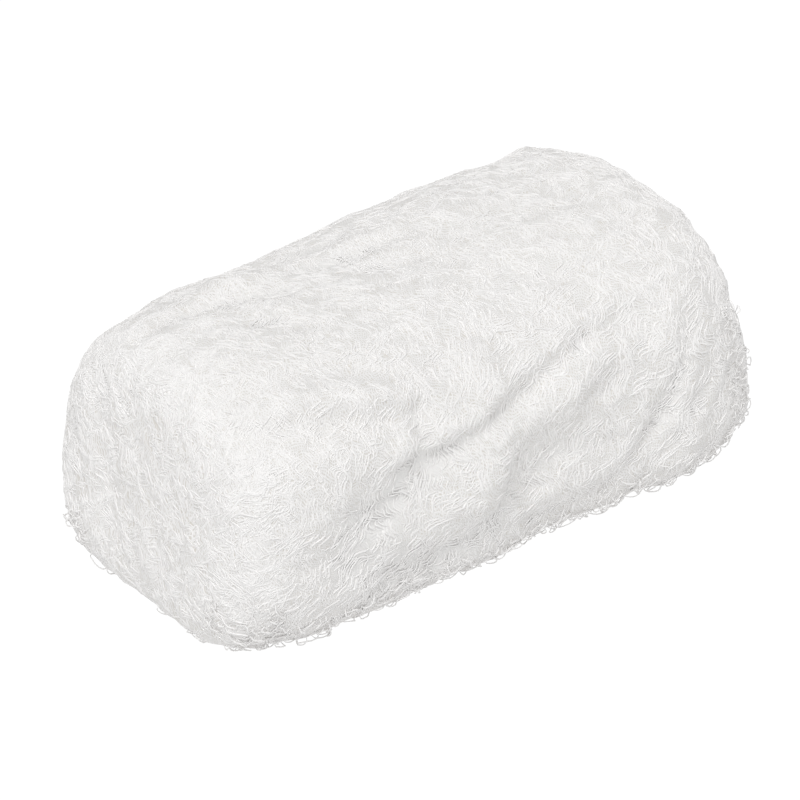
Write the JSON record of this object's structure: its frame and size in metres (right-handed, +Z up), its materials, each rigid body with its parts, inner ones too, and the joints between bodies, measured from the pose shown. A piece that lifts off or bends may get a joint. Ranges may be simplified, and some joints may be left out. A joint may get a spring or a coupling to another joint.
{
  "type": "gauze bandage roll",
  "caption": "Soft coreless roll of white crinkle-weave gauze bandage lying on its side, pressed to a rounded box, with crumpled folds along its long side.",
  "frame": {"origin": "centre of the flat resting face, under the middle of the roll's box", "axes": "+X along the roll's axis towards the far end, -Y towards the long side with the main crease, +Z up from the resting face"},
  "size_m": [0.1178, 0.0684, 0.0507],
  "materials": {
    "bleached_gauze": "matte open crinkle weave of bleached cotton yarn"
  },
  "bodies": {
    "root": {"gauze_roll": "bleached_gauze"}
  },
  "joints": []
}
